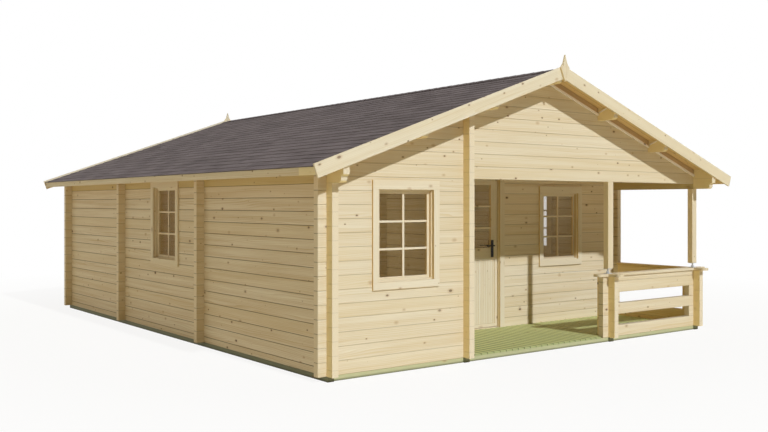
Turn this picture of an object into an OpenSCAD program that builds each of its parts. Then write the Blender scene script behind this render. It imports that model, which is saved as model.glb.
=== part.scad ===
// Log cabin with a covered corner porch. The walls are stacks of squared logs whose ends cross and
// lock at the corners. Millimetres, +Z up, the front looks towards -Y, and the origin is the middle
// of the plan at the underside of the foundation beams.

/* [House] */
// Width over the outer faces of the two side walls
house_w = 5820; // [5500:10:6600]
// Length over the outer faces of the two gable walls
house_l = 7390; // [7100:10:8600]
// Left wall's outer face to the left face of the porch side wall
side_wall_at = 1699; // [1500:1:1900]
// Left wall's outer face to the left face of the railing's end stack
rail_stack_at = 4026; // [3800:1:4300]
// Front wall's outer face to the outer face of the porch back wall
porch_depth = 1325; // [1200:1:1600]
// Front wall's outer face to the front face of the front room's partition
front_partition_at = 2577; // [2400:1:2700]
// Front wall's outer face to the front face of the rear partition
rear_partition_at = 5044; // [4700:1:5400]

/* [Logs] */
// Thickness of a wall log
log_t = 70; // [58:1:80]
// Height of one log course
log_h = 133; // [128:1:140]
// Length of the log ends that stand out past a crossing
arm = 95; // [60:1:130]
// Depth of the chamfer that draws each joint between logs
groove = 4; // [2:0.5:6]
// Courses under the beam that spans the porch
beam_courses = 14; // [14:1:15]
// Courses beside a doorway
door_courses = 15; // [15:1:16]
// Height of the bevelled eave logs at the wall's outer face
eave_log_h = 226; // [180:1:260]

/* [Foundation and floor] */
// Height of the foundation beams
base_h = 50; // [40:1:80]
// Distance that the long beams stand out past the gable walls
beam_out = 22; // [0:1:40]
// Thickness of the floor and deck boards
floor_t = 20; // [16:1:28]
// Width of a floor joist
joist_w = 45; // [35:1:60]
// Largest spacing of the floor joists
joist_gap = 620; // [400:10:700]

/* [Railing] */
// Whole courses of log in the railing, over its half log
rail_courses = 5; // [5:1:6]
// Thickness of the handrails
handrail_t = 30; // [20:1:45]
// Distance that a handrail stands out past the log on each side
handrail_out = 24; // [10:1:40]
// Radius of a handrail's corners in plan
handrail_r = 45; // [5:1:50]
// Distance that the front handrail runs past the log ends
handrail_end = 88; // [40:1:110]
// Width of a porch post across the front
post_w = 92; // [70:1:110]
// Length of the screw jack between handrail and post
jack_h = 62; // [45:1:90]
// Radius of the jack's threaded rod
jack_rod_r = 10; // [6:0.5:14]
// Thickness of the jack's plates
jack_plate_t = 6; // [4:0.5:10]

/* [Roof] */
// Pitch of the roof in degrees
pitch = 19.7; // [16:0.1:24]
// Thickness of the roof boards
board_t = 19; // [16:1:28]
// Thickness of the shingle layer
shingle_t = 10; // [6:1:16]
// Gap that keeps the shingles clear of the boards
shingle_gap = 0.05; // [0.02:0.01:0.2]
// Height of the purlins under the roof boards
purlin_h = 133; // [110:1:150]
// Radius of the nose and of the cove that shape a purlin's ends
nose_r = 38; // [30:1:52]
// Distance of the fascia's outer face from the wall's outer face
eave_out = 300; // [200:5:400]
// Distance of the barge board's outer face from the gable wall
gable_out = 300; // [200:5:400]
// Thickness of the barge boards
barge_t = 22; // [18:1:30]
// Depth of the barge boards, square to the slope
barge_d = 133; // [120:1:190]
// Height of the barge board's top edge over the shingles
barge_lip = 20; // [5:1:30]
// Width of the open joint between two barge boards at the ridge
barge_joint = 1; // [1:0.5:4]
// Distance that the barge boards run past the fascia
barge_past = 26; // [20:1:60]
// Thickness of the fascia
fascia_t = 18; // [14:1:25]
// Height of the fascia under the roof boards
fascia_drop = 60; // [40:1:100]
// Distance that the shingles run past the fascia
shingle_past = 15; // [5:1:18]
// Thickness of the finial boards
finial_t = 20; // [15:1:30]
// Half width of a finial board
finial_w = 68; // [50:1:90]
// Height of a finial's tip over the barge boards
finial_up = 119; // [80:1:160]
// Depth of a finial's lower point under the top of the barge boards
finial_down = 175; // [150:1:220]
// Half width of a finial's waist, where its hollow shoulders meet its spike
waist_w = 28; // [18:1:40]
// Height of a finial's waist over the barge boards
waist_up = 30; // [10:1:60]

/* [Windows] */
// Clear width of a window frame
window_w = 688; // [600:1:720]
// Clear height of a window frame
window_h = 901; // [800:1:930]
// Height of the front windows' upper edge over the foundation
window_head = 1743; // [1700:1:1760]
// Thickness of a window frame's boards
frame_t = 20; // [15:1:30]
// Width of the boards beside and under a window
trim_w = 75; // [55:1:90]
// Height of the board over a window
trim_top = 91; // [60:1:100]
// Thickness of the boards round windows and door
trim_t = 20; // [14:1:25]
// Width of a sash's stiles and rails
sash_w = 43; // [36:1:70]
// Thickness of a sash
sash_t = 28; // [22:1:28]
// Depth of a sash behind the wall's outer face
sash_in = 42; // [5:1:42]
// Thickness of the window and door glass
glass_t = 4; // [3:1:8]
// Left wall's outer face to the middle of the front window
front_window_at = 940; // [880:1:1000]
// Share of the porch wall's free length that lies between door and window
window_share = 0.3215; // [0.25:0.0005:0.4]
// Front wall's outer face to the middle of the left window
left_window_at = 3690; // [3400:1:4000]
// Front wall's outer face to the middle of the right window
right_window_at = 2890; // [2700:1:3400]

/* [Door] */
// Width of the door leaf
leaf_w = 860; // [780:1:900]
// Thickness of the door leaf
leaf_t = 40; // [36:1:45]
// Share of the porch wall's free length that lies left of the door
door_share = 0.363; // [0.3:0.001:0.45]
// Running gap round the leaf
leaf_gap = 6; // [5:0.5:8]
// Thickness of the door frame's boards
jamb_t = 30; // [24:1:40]
// Width of the stop that the leaf closes against
stop_w = 14; // [10:1:20]
// Height of the sill over the foundation
sill_h = 28; // [22:1:32]
// Width of the boards round the door
door_trim_w = 78; // [60:1:90]
// Width of the leaf's stiles
stile_w = 120; // [90:1:150]
// Height of the leaf's lower rail
bottom_rail_h = 110; // [80:1:200]
// Height of the leaf's lock rail
lock_rail_h = 153; // [120:1:200]
// Height of the lock rail's underside over the leaf's lower edge
lock_rail_up = 853; // [700:1:900]
// Depth of the recess that holds the leaf's lower boards, on each side
panel_in = 9; // [4:1:12]
// Distance of the handle from the leaf's free edge
handle_in = 100; // [70:1:100]
// Height of the levers over the leaf's lower edge
handle_up = 1033; // [950:1:1080]
// Length of the handle's plates
plate_l = 217; // [180:1:260]
// Width of the handle's plates
plate_w = 40; // [30:1:50]
// Thickness of the handle's plates
plate_t = 8; // [5:1:12]
// Distance of the plates' lower end below the levers
plate_drop = 146; // [120:1:165]
// Side of the square spindle that joins the levers
spindle_w = 8; // [7:1:10]
// Distance of a lever's axis from the leaf's face
lever_off = 45; // [30:1:55]
// Length of the levers
lever_l = 125; // [100:1:140]
// Radius of the levers
lever_r = 9; // [6:0.5:12]
// Radius of a hinge's knuckles
knuckle_r = 8; // [6:0.5:10]
// Length of a hinge, both knuckles together
hinge_l = 100; // [70:1:140]
// Distance of each hinge from the leaf's end
hinge_in = 220; // [150:1:350]
// Thickness of a hinge's plates
hinge_plate_t = 3; // [2:0.5:4]
// Width of the plate on the leaf
hinge_plate_w = 32; // [24:1:45]
// Radius of a hinge's pin
pin_r = 4; // [3:0.5:5]
// Length of the pin inside the leaf's knuckle
pin_l = 40; // [20:1:45]
// Distance that the boards inside the doorway stand back from the frame's edge
inner_reveal = 20; // [14:1:24]

/* [Inner doorways] */
// Width of the open doorways in the partitions
doorway_w = 800; // [700:1:850]
// Left wall's outer face to the left side of the front room's doorway
front_doorway_at = 450; // [300:1:500]
// Left wall's outer face to the left side of the rear room's doorway
rear_doorway_at = 2700; // [2000:1:3200]

/* [Hidden] */

$fn = 48;
// Overlap of a cutting body past the face it cuts
eps = 1;
// A length that is longer than the house
far = 20000;
// Most log courses between the foundation and the ridge
most_courses = 40;

// Colours of the materials
pine = "#DFCEAC";
planed_pine = "#E6D8B8";
end_pine = "#CFB064";
treated_pine = "#B4B47C";
bitumen = "#5F5756";
pane = "#7F8A8C";
black_metal = "#1D1C1B";
zinc = "#A9ACAF";

// Plan lines: the left or front face of each wall
x_left = -house_w / 2;
x_right = house_w / 2 - log_t;
x_side = x_left + side_wall_at;
x_stack = x_left + rail_stack_at;
y_front = -house_l / 2;
y_back = house_l / 2 - log_t;
y_porch = y_front + porch_depth;
y_mid = y_front + front_partition_at;
y_rear = y_front + rear_partition_at;
// Half of a course: the side walls start with a half log
half = 0.5;
quarter = half / 2;

function course(n) = base_h + n * log_h;
z_base = course(0);
z_beam = course(beam_courses);
z_eave = course(beam_courses - half);
z_door = course(door_courses);
z_rail = course(rail_courses + half);
// The gap in the side railing
side_gap_z0 = course(1 + half);
side_gap_z1 = course(rail_courses - half);

// Roof: the boards' underside is the surface that walls and purlins reach
rise = tan(pitch);
ridge_under = z_eave + eave_log_h + rise * house_w / 2;
function under(x) = ridge_under - rise * abs(x);
board_v = board_t / cos(pitch);
shingle_v = shingle_t / cos(pitch);
fascia_x = house_w / 2 + eave_out;
barge_x = fascia_x + barge_past;
barge_top = ridge_under + board_v + shingle_v + barge_lip;
y_barge = y_front - gable_out;
y_roof = y_barge + barge_t;
purlin_x = (house_w / 2 - log_t / 2) / 3;

// One stack of logs seen from its end, with a chamfer on each edge of each log
module log_stack(z0, z1, phase) {
  joints = [for (k = [0 : most_courses])
    let (z = course(k + phase)) if (z > z0 + groove && z < z1 - groove) z];
  last = len(joints) - 1;
  up = [for (z = joints) each [[log_t, z - groove], [log_t - groove, z], [log_t, z + groove]]];
  down = [for (i = [last : -1 : 0])
    each [[0, joints[i] + groove], [groove, joints[i]], [0, joints[i] - groove]]];
  foot = [[0, z0 + groove], [groove, z0], [log_t - groove, z0], [log_t, z0 + groove]];
  head = [[log_t, z1 - groove], [log_t - groove, z1], [groove, z1], [0, z1 - groove]];
  polygon(concat(foot, up, head, down));
}

// A wall that runs along X, from x0 to x1, with its front face at y
module x_logs(x0, x1, y, z0, z1) {
  translate([x0, y, 0]) rotate([90, 0, 90]) linear_extrude(x1 - x0) log_stack(z0, z1, 0);
}

// A wall that runs along Y, from y0 to y1, with its left face at x
module y_logs(y0, y1, x, z0, z1) {
  translate([x, y1, 0]) rotate([90, 0, 0]) linear_extrude(y1 - y0) log_stack(z0, z1, half);
}

// The notches of a crossing: every log gives up a quarter of its height above and below, so the
// logs of one wall fill the notches of the other. The shift picks the wall that is cut.
module notches(x, y, z0, z1, shift, over) {
  for (k = [-1 : most_courses]) {
    low = max(z0, course(k + shift - quarter));
    high = min(z1, course(k + shift + quarter));
    if (high > low)
      translate([x - over[0], y - over[1], low])
        cube([log_t + 2 * over[0], log_t + 2 * over[1], high - low]);
  }
}

// Notches in a wall along X where a wall along Y crosses it
module x_notches(x, y, z0, z1) notches(x, y, z0, z1, 0, [0, eps]);

// Notches in a wall along Y where a wall along X crosses it
module y_notches(x, y, z0, z1) notches(x, y, z0, z1, half, [eps, 0]);

// Everything above the underside of the roof boards
module above_roof() {
  wide = house_w;
  translate([0, far / 2, 0]) rotate([90, 0, 0]) linear_extrude(far)
    polygon([[-wide, under(wide)], [0, ridge_under], [wide, under(wide)], [wide, far], [-wide, far]]);
}

// Front view of everything under the roof boards, less the room that the purlins take up
module under_roof() {
  wide = house_w;
  difference() {
    polygon([[-wide, 0], [wide, 0], [wide, under(wide)], [0, ridge_under], [-wide, under(wide)]]);
    for (i = [-2 : 2])
      translate([i * purlin_x - log_t / 2, under(i * purlin_x) - purlin_h]) square([log_t, house_w]);
  }
}

// A wall along X that reaches up to the roof and carries the purlins
module roofed_logs(x0, x1, y, z0) {
  intersection() {
    x_logs(x0, x1, y, z0, ridge_under);
    translate([0, y + log_t + eps, 0]) rotate([90, 0, 0]) linear_extrude(log_t + 2 * eps) under_roof();
  }
}

// Side view of a purlin from one gable overhang to the other: each lower corner is shaped to an
// S curve, a round nose under a hollow cove
module purlin_side(z0, z1) {
  r = nose_r;
  steps = 6;
  nose = [for (i = [0 : steps]) let (a = 90 * i / steps) [r - r * sin(a), r - r * cos(a)]];
  cove = [for (i = [1 : steps]) let (a = 90 * i / steps) [-r + r * cos(a), r + r * sin(a)]];
  end = [for (p = concat(nose, cove)) [y_roof + r + p[0], z0 + p[1]]];
  far_end = [for (i = [len(end) - 1 : -1 : 0]) [-end[i][0], end[i][1]]];
  polygon(concat(end, [[y_roof, z1], [-y_roof, z1]], far_end));
}

// A purlin whose middle plane is at x, bevelled to the roof
module purlin(x, z0) {
  difference() {
    translate([x - log_t / 2, 0, 0]) rotate([90, 0, 90]) linear_extrude(log_t)
      purlin_side(z0, ridge_under + eps);
    above_roof();
  }
}

// A rectangle in plan with round corners
module round_plank(w, l, r) {
  translate([r, 0]) square([w - 2 * r, l]);
  translate([0, r]) square([w, l - 2 * r]);
  for (x = [r, w - r], y = [r, l - r]) translate([x, y]) circle(r);
}

// A box from one corner to the opposite one
module block(a, b) {
  translate(a) cube(b - a);
}

// Foundation and floor

module side_beams() {
  color(treated_pine) for (x = [x_left, x_side, x_stack, x_right])
    block([x, y_front - beam_out, 0], [x + log_t, house_l / 2 + beam_out, base_h]);
}

// Calls its child once for each bay between the side beams, with $x0 and $x1
module beam_bays() {
  lines = [x_left, x_side, x_stack, x_right];
  for (i = [0 : 2]) {
    $x0 = lines[i] + log_t;
    $x1 = lines[i + 1];
    children();
  }
}

module cross_beams() {
  color(treated_pine) beam_bays()
    for (y = [y_front, y_porch, y_mid, y_rear, y_back])
      block([$x0, y, 0], [$x1, y + log_t, base_h]);
}

module floor_joists() {
  rows = [y_front, y_porch, y_mid, y_rear, y_back];
  color(treated_pine) beam_bays() for (i = [0 : 3]) {
    clear = rows[i + 1] - rows[i] - log_t;
    count = floor(clear / joist_gap);
    for (k = [1 : 1 : count]) {
      y = rows[i] + log_t + clear * k / (count + 1);
      block([$x0, y - joist_w / 2, 0], [$x1, y + joist_w / 2, base_h]);
    }
  }
}

module floor() {
  top = base_h + floor_t;
  color(planed_pine) difference() {
    union() {
      block([x_left + log_t, y_front + log_t, base_h], [x_side, y_mid, top]);
      block([x_left + log_t, y_mid + log_t, base_h], [x_right, y_rear, top]);
      block([x_side + log_t, y_porch + log_t, base_h], [x_right, y_mid + 2 * log_t, top]);
      block([x_left + log_t, y_rear + log_t, base_h], [x_right, y_back, top]);
      doorway(front_doorway_at, y_mid, top);
      doorway(rear_doorway_at, y_rear, top);
    }
    // The log ends that stand out into the rooms
    block([x_side - arm, y_porch, 0], [x_side + eps, y_porch + log_t, far]);
    block([x_side + log_t - eps, y_mid, 0], [x_side + log_t + arm, y_mid + log_t, far]);
    block([x_side, y_mid + log_t - eps, 0], [x_side + log_t, y_mid + log_t + arm, far]);
  }
}

// The open doorway of a partition, up to a height
module doorway(at, y, top) {
  block([x_left + at, y - eps, base_h], [x_left + at + doorway_w, y + log_t + eps, top]);
}

module porch_deck() {
  top = base_h + floor_t;
  color(treated_pine) difference() {
    union() {
      block([x_side + log_t, y_front, base_h], [x_stack - arm, y_porch, top]);
      block([x_side + log_t, y_front + log_t, base_h], [x_right, y_porch, top]);
    }
    block([x_stack, y_front, 0], [x_stack + log_t, y_front + log_t + arm, far]);
  }
}

// Walls

module front_wall() {
  color(pine) difference() {
    x_logs(x_left - arm, x_side + log_t, y_front, z_base, z_beam);
    for (x = [x_left, x_side]) x_notches(x, y_front, z_base, z_beam);
    at_window(0) window_hole();
  }
}

module front_gable() {
  color(pine) difference() {
    roofed_logs(x_left - arm, x_right + log_t + arm, y_front, z_beam);
    for (x = [x_left, x_side, x_right]) x_notches(x, y_front, z_beam, ridge_under);
  }
}

module left_wall() {
  color(pine) difference() {
    y_logs(y_front - arm, y_back + log_t + arm, x_left, z_base, z_eave);
    for (y = [y_front, y_mid, y_rear, y_back]) y_notches(x_left, y, z_base, z_eave);
    at_window(2) window_hole();
  }
}

module right_wall() {
  color(pine) difference() {
    y_logs(y_porch - arm, y_back + log_t + arm, x_right, z_base, z_eave);
    for (y = [y_porch, y_rear, y_back]) y_notches(x_right, y, z_base, z_eave);
    at_window(3) window_hole();
    // The gap in the side railing runs back to the porch wall
    block([x_right - eps, y_porch - arm - eps, side_gap_z0], [x_right + log_t + eps, y_porch, side_gap_z1]);
  }
}

module back_wall() {
  color(pine) difference() {
    roofed_logs(x_left - arm, x_right + log_t + arm, y_back, z_base);
    for (x = [x_left, x_right]) x_notches(x, y_back, z_base, ridge_under);
  }
}

module porch_side_wall() {
  color(pine) difference() {
    y_logs(y_front - arm, y_mid + log_t + arm, x_side, z_base, ridge_under);
    for (y = [y_front, y_porch, y_mid]) y_notches(x_side, y, z_base, ridge_under);
    above_roof();
  }
}

// A stretch of a wall along X behind the front one, from z0 up, that crosses the walls along Y at xs
module inner_logs(x0, x1, y, z0, xs) {
  color(pine) difference() {
    roofed_logs(x0, x1, y, z0);
    for (x = xs) x_notches(x, y, z0, ridge_under);
  }
}

// The holes of the porch back wall share out the length that they leave free
door_hole_w = leaf_w + 2 * (leaf_gap + jamb_t);
window_hole_w = window_w + 2 * frame_t;
porch_x0 = x_side + log_t;
porch_free = x_right - porch_x0 - door_hole_w - window_hole_w;
door_hole_x0 = porch_x0 + door_share * porch_free;
door_hole_x1 = door_hole_x0 + door_hole_w;
porch_window_x = door_hole_x1 + window_share * porch_free + window_hole_w / 2;
right_end = x_right + log_t + arm;

module porch_back_wall_left()
  inner_logs(x_side - arm, door_hole_x0, y_porch, z_base, [x_side]);

module porch_back_wall_right() {
  difference() {
    inner_logs(door_hole_x1, right_end, y_porch, z_base, [x_right]);
    at_window(1) window_hole();
  }
}

module porch_back_wall_top()
  inner_logs(door_hole_x0, door_hole_x1, y_porch, z_door, []);

front_door_x = x_left + front_doorway_at;

module front_partition_left()
  inner_logs(x_left - arm, front_door_x, y_mid, z_base, [x_left]);

module front_partition_right()
  inner_logs(front_door_x + doorway_w, x_side + log_t + arm, y_mid, z_base, [x_side]);

module front_partition_top()
  inner_logs(front_door_x, front_door_x + doorway_w, y_mid, z_door, []);

rear_door_x = x_left + rear_doorway_at;

module rear_partition_left()
  inner_logs(x_left - arm, rear_door_x, y_rear, z_base, [x_left]);

module rear_partition_right()
  inner_logs(rear_door_x + doorway_w, right_end, y_rear, z_base, [x_right]);

module rear_partition_top()
  inner_logs(rear_door_x, rear_door_x + doorway_w, y_rear, z_door, []);

// Roof timbers

module eave_logs() {
  middle = house_w / 2 - log_t / 2;
  color(pine) {
    difference() {
      purlin(-middle, z_eave);
      for (y = [y_front, y_mid, y_rear, y_back]) y_notches(x_left, y, z_eave, ridge_under);
      at_window(2) window_hole();
    }
    difference() {
      purlin(middle, z_eave);
      y_notches(x_right, y_front, z_beam, ridge_under);
      for (y = [y_porch, y_rear, y_back]) y_notches(x_right, y, z_eave, ridge_under);
      at_window(3) window_hole();
    }
  }
}

module ridge_purlin() {
  color(pine) purlin(0, under(0) - purlin_h);
}

module purlins() {
  color(pine) for (i = [-2, -1, 1, 2])
    purlin(i * purlin_x, under(i * purlin_x) - purlin_h);
}

// Railing

module front_railing() {
  x0 = x_stack + log_t + arm;
  x1 = x_right - arm;
  color(pine) difference() {
    x_logs(x_stack - arm, right_end, y_front, z_base, z_rail);
    for (x = [x_stack, x_right]) x_notches(x, y_front, z_base, z_rail);
    for (k = [1 : 2 : rail_courses - 2])
      block([x0, y_front - eps, course(k)], [x1, y_front + log_t + eps, course(k + 1)]);
  }
}

// The side railing: logs below its gap, the log ends that cross the front railing, and a top log
module side_railing_logs(y1, z0, z1) {
  color(pine) difference() {
    y_logs(y_front - arm, y1, x_right, z0, z1);
    y_notches(x_right, y_front, z0, z1);
  }
}

module side_railing_base() side_railing_logs(y_porch - arm, z_base, side_gap_z0);

module side_railing_corner() side_railing_logs(y_front + log_t + arm, side_gap_z0, side_gap_z1);

module side_railing_top() side_railing_logs(y_porch - arm, side_gap_z1, z_rail);

module railing_end_stack() {
  color(pine) difference() {
    y_logs(y_front - arm, y_front + log_t + arm, x_stack, z_base, z_rail);
    y_notches(x_stack, y_front, z_base, z_rail);
  }
}

// The front handrail has a tongue over the log ends at each of its crossings
module front_handrail() {
  wide = log_t + 2 * handrail_out;
  x0 = x_stack - arm - handrail_end;
  y0 = y_front - arm - handrail_end;
  color(planed_pine) translate([0, 0, z_rail]) linear_extrude(handrail_t) {
    translate([x0, y_front - handrail_out]) round_plank(right_end + handrail_end - x0, wide, handrail_r);
    for (x = [x_stack, x_right])
      translate([x - handrail_out, y0]) round_plank(wide, y_front + log_t - y0, handrail_r);
  }
}

module side_handrail() {
  color(planed_pine) block([x_right - handrail_out, y_front + log_t + handrail_out, z_rail],
    [x_right + log_t + handrail_out, y_porch - arm, z_rail + handrail_t]);
}

z_post = z_rail + handrail_t + jack_h;

module porch_posts() {
  y1 = y_front + log_t;
  color(pine) {
    block([x_stack, y_front, z_post], [x_stack + post_w, y1, z_beam]);
    block([x_right + log_t - post_w, y_front, z_post], [x_right + log_t, y1, z_eave]);
  }
}

module post_jacks() {
  color(zinc) for (x = [x_stack, x_right])
    translate([x + log_t / 2, y_front + log_t / 2, z_rail + handrail_t]) {
      cylinder(h = jack_h, r = jack_rod_r);
      for (z = [0, jack_h - jack_plate_t])
        translate([-log_t / 2, -log_t / 2, z]) cube([log_t, log_t, jack_plate_t]);
      translate([0, 0, jack_plate_t]) cylinder(h = 2 * jack_rod_r, r = 2 * jack_rod_r, $fn = 6);
    }
}

// Roof skin

// One layer of the right slope between two heights over the boards' underside
module roof_layer(low, high, x1) {
  translate([0, -y_roof, 0]) rotate([90, 0, 0]) linear_extrude(-2 * y_roof)
    polygon([[0, under(0) + low], [x1, under(x1) + low], [x1, under(x1) + high], [0, under(0) + high]]);
}

module roof_boards_right() {
  color(planed_pine) roof_layer(0, board_v, fascia_x - fascia_t);
}

module roof_boards_left() {
  mirror([1, 0, 0]) roof_boards_right();
}

module shingles_right() {
  color(bitumen) roof_layer(board_v + shingle_gap, board_v + shingle_v, fascia_x + shingle_past);
}

module shingles_left() {
  mirror([1, 0, 0]) shingles_right();
}

module fascias() {
  x0 = fascia_x - fascia_t;
  low = under(x0) - fascia_drop;
  color(planed_pine) for (side = [0, 1]) mirror([side, 0, 0])
    translate([0, -y_roof, 0]) rotate([90, 0, 0]) linear_extrude(-2 * y_roof)
      polygon([[x0, low], [fascia_x, low], [fascia_x, under(fascia_x) + board_v],
        [x0, under(x0) + board_v]]);
}

// The pair of barge boards of the front gable, mitred at the ridge, with ends square to the slope
module barge_boards() {
  end_z = barge_top - rise * barge_x;
  joint = barge_joint / 2;
  for (side = [0, 1]) mirror([side, 0, 0])
    translate([0, y_roof, 0]) rotate([90, 0, 0]) linear_extrude(barge_t)
      polygon([[joint, barge_top - rise * joint], [joint, barge_top - barge_d / cos(pitch) - rise * joint],
        [barge_x - barge_d * sin(pitch), end_z - barge_d * cos(pitch)], [barge_x, end_z]]);
}

module front_barge_boards() {
  color(planed_pine) barge_boards();
}

module back_barge_boards() {
  color(planed_pine) mirror([0, 1, 0]) barge_boards();
}

// A pointed board with hollow shoulders, over the joint of the barge boards
module finials() {
  shoulder = barge_top - rise * finial_w;
  waist = [waist_w, barge_top + waist_up];
  color(planed_pine) for (side = [0, 1]) mirror([0, side, 0])
    translate([0, y_barge, 0]) rotate([90, 0, 0]) linear_extrude(finial_t)
      polygon([[0, barge_top - finial_down], [finial_w, shoulder], waist,
        [0, barge_top + finial_up], [-waist[0], waist[1]], [-finial_w, shoulder]]);
}

// Windows: front, porch, left, right. In a window's own frame X runs along the wall, Y goes into
// the wall from its outer face, and the origin is the middle of the clear opening's lower edge.

window_z = base_h + window_head - window_h;
side_window_z = window_z + half * log_h;
window_spots = [
  [[x_left + front_window_at, y_front, window_z], 0],
  [[porch_window_x, y_porch, window_z], 0],
  [[x_left, y_front + left_window_at, side_window_z], -90],
  [[x_right + log_t, y_front + right_window_at, side_window_z], 90]
];

module at_window(i) {
  translate(window_spots[i][0]) rotate([0, 0, window_spots[i][1]]) children();
}

module at_windows() {
  for (i = [0 : len(window_spots) - 1]) at_window(i) children();
}

// A rectangular ring round the clear opening: from inside it by in_w to outside it by out_w, and by
// top_w above it
module window_ring(in_w, out_w, top_w, y0, y1) {
  difference() {
    block([-window_w / 2 - out_w, y0, -out_w], [window_w / 2 + out_w, y1, window_h + top_w]);
    block([-window_w / 2 + in_w, y0 - eps, in_w], [window_w / 2 - in_w, y1 + eps, window_h - in_w]);
  }
}

module window_hole() {
  block([-window_w / 2 - frame_t, -eps, -frame_t],
    [window_w / 2 + frame_t, log_t + eps, window_h + frame_t]);
}

module window_frames() {
  color(planed_pine) at_windows() window_ring(0, frame_t, frame_t, 0, log_t);
}

module window_trims() {
  color(planed_pine) at_windows() {
    window_ring(0, trim_w, trim_top, -trim_t, 0);
    window_ring(0, trim_w, trim_top, log_t, log_t + trim_t);
  }
}

module window_sashes() {
  color(planed_pine) at_windows() window_ring(sash_w, 0, 0, sash_in, sash_in + sash_t);
}

module window_glass() {
  y0 = sash_in + sash_t / 2 - glass_t / 2;
  color(pane) at_windows()
    block([-window_w / 2 + sash_w, y0, sash_w], [window_w / 2 - sash_w, y0 + glass_t, window_h - sash_w]);
}

// Door, set flush with the inner face of the porch back wall, hinged on the left and opening inwards

leaf_x0 = door_hole_x0 + jamb_t + leaf_gap;
leaf_x1 = leaf_x0 + leaf_w;
leaf_y1 = y_porch + log_t;
leaf_y0 = leaf_y1 - leaf_t;
leaf_z0 = base_h + sill_h + leaf_gap;
leaf_z1 = z_door - jamb_t - leaf_gap;
stop_y1 = leaf_y0 - leaf_gap;
jamb_x0 = leaf_x0 - leaf_gap;
jamb_x1 = leaf_x1 + leaf_gap;
head_z = leaf_z1 + leaf_gap;

module door_jambs() {
  z0 = base_h + sill_h;
  color(planed_pine) {
    block([door_hole_x0, y_porch, z0], [jamb_x0, leaf_y1, head_z]);
    block([jamb_x0 - eps, y_porch, z0], [jamb_x0 + stop_w, stop_y1, head_z]);
    block([jamb_x1, y_porch, z0], [door_hole_x1, leaf_y1, head_z]);
    block([jamb_x1 - stop_w, y_porch, z0], [jamb_x1 + eps, stop_y1, head_z]);
  }
}

module door_head() {
  color(planed_pine) {
    block([door_hole_x0, y_porch, head_z], [door_hole_x1, leaf_y1, z_door]);
    block([jamb_x0 + stop_w, y_porch, head_z - stop_w], [jamb_x1 - stop_w, stop_y1, head_z + eps]);
  }
}

module door_sill() {
  color(planed_pine)
    block([door_hole_x0, y_porch, base_h], [door_hole_x1, leaf_y1, base_h + sill_h]);
}

// The boards round the doorway from y0 to y1, with their inner edge back from the frame by reveal
module door_surround(y0, y1, reveal) {
  x0 = jamb_x0 - reveal;
  x1 = jamb_x1 + reveal;
  z1 = head_z + reveal;
  z0 = base_h + floor_t;
  difference() {
    block([x0 - door_trim_w, y0, z0], [x1 + door_trim_w, y1, z1 + door_trim_w]);
    block([x0, y0 - eps, z0 - eps], [x1, y1 + eps, z1]);
  }
}

module door_trims() {
  color(planed_pine) {
    door_surround(y_porch - trim_t, y_porch, leaf_gap - stop_w);
    door_surround(leaf_y1, leaf_y1 + trim_t, inner_reveal);
  }
}

// The leaf: stiles and rails round a pane above and a recessed panel below
pane_z0 = leaf_z0 + lock_rail_up + lock_rail_h;
pane_z1 = leaf_z1 - stile_w;

module door_leaf() {
  color(planed_pine) difference() {
    block([leaf_x0, leaf_y0, leaf_z0], [leaf_x1, leaf_y1, leaf_z1]);
    block([leaf_x0 + stile_w, leaf_y0 - eps, pane_z0], [leaf_x1 - stile_w, leaf_y1 + eps, pane_z1]);
    for (y = [leaf_y0 - panel_in, leaf_y1 - panel_in])
      block([leaf_x0 + stile_w, y, leaf_z0 + bottom_rail_h],
        [leaf_x1 - stile_w, y + 2 * panel_in, leaf_z0 + lock_rail_up]);
    spindle(spindle_w);
  }
}

module door_glass() {
  y0 = leaf_y0 + leaf_t / 2 - glass_t / 2;
  color(pane)
    block([leaf_x0 + stile_w, y0, pane_z0], [leaf_x1 - stile_w, y0 + glass_t, pane_z1]);
}

// Handle: a long plate and a lever on each face, joined by a square spindle through the leaf
handle_x = leaf_x1 - handle_in;
handle_z = leaf_z0 + handle_up;

module spindle(w) {
  translate([handle_x - w / 2, leaf_y0 - eps, handle_z - w / 2]) cube([w, leaf_t + 2 * eps, w]);
}

// One face's plate, neck and lever, standing out from y = 0 towards -Y
module handle_side() {
  translate([-plate_w / 2, -plate_t, -plate_drop]) cube([plate_w, plate_t, plate_l]);
  rotate([90, 0, 0]) cylinder(h = lever_off, r = lever_r);
  translate([0, -lever_off, 0]) rotate([0, -90, 0]) cylinder(h = lever_l, r = lever_r);
  translate([0, -lever_off, 0]) sphere(lever_r);
}

module door_handle() {
  color(black_metal) {
    spindle(spindle_w);
    translate([handle_x, leaf_y0, handle_z]) handle_side();
    translate([handle_x, leaf_y1, handle_z]) mirror([0, 1, 0]) handle_side();
  }
}

// Hinges: the frame's knuckle below carries a pin, and the leaf's knuckle above turns on it
hinge_clear = 0.5;
pin_clear = 0.1;
knuckle_gap = 0.3;
hinge_x = (jamb_x0 + leaf_x0) / 2;
hinge_y = leaf_y1 + hinge_clear + knuckle_r;
hinge_zs = [leaf_z0 + hinge_in, leaf_z1 - hinge_in];

module frame_hinges() {
  h = hinge_l / 2;
  color(zinc) for (z = hinge_zs) {
    translate([hinge_x, hinge_y, z - h]) cylinder(h = h, r = knuckle_r);
    translate([hinge_x, hinge_y, z - eps]) cylinder(h = pin_l + eps, r = pin_r);
    block([jamb_x0 - inner_reveal + hinge_clear, leaf_y1, z - h],
      [jamb_x0, leaf_y1 + hinge_plate_t, z]);
  }
}

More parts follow.
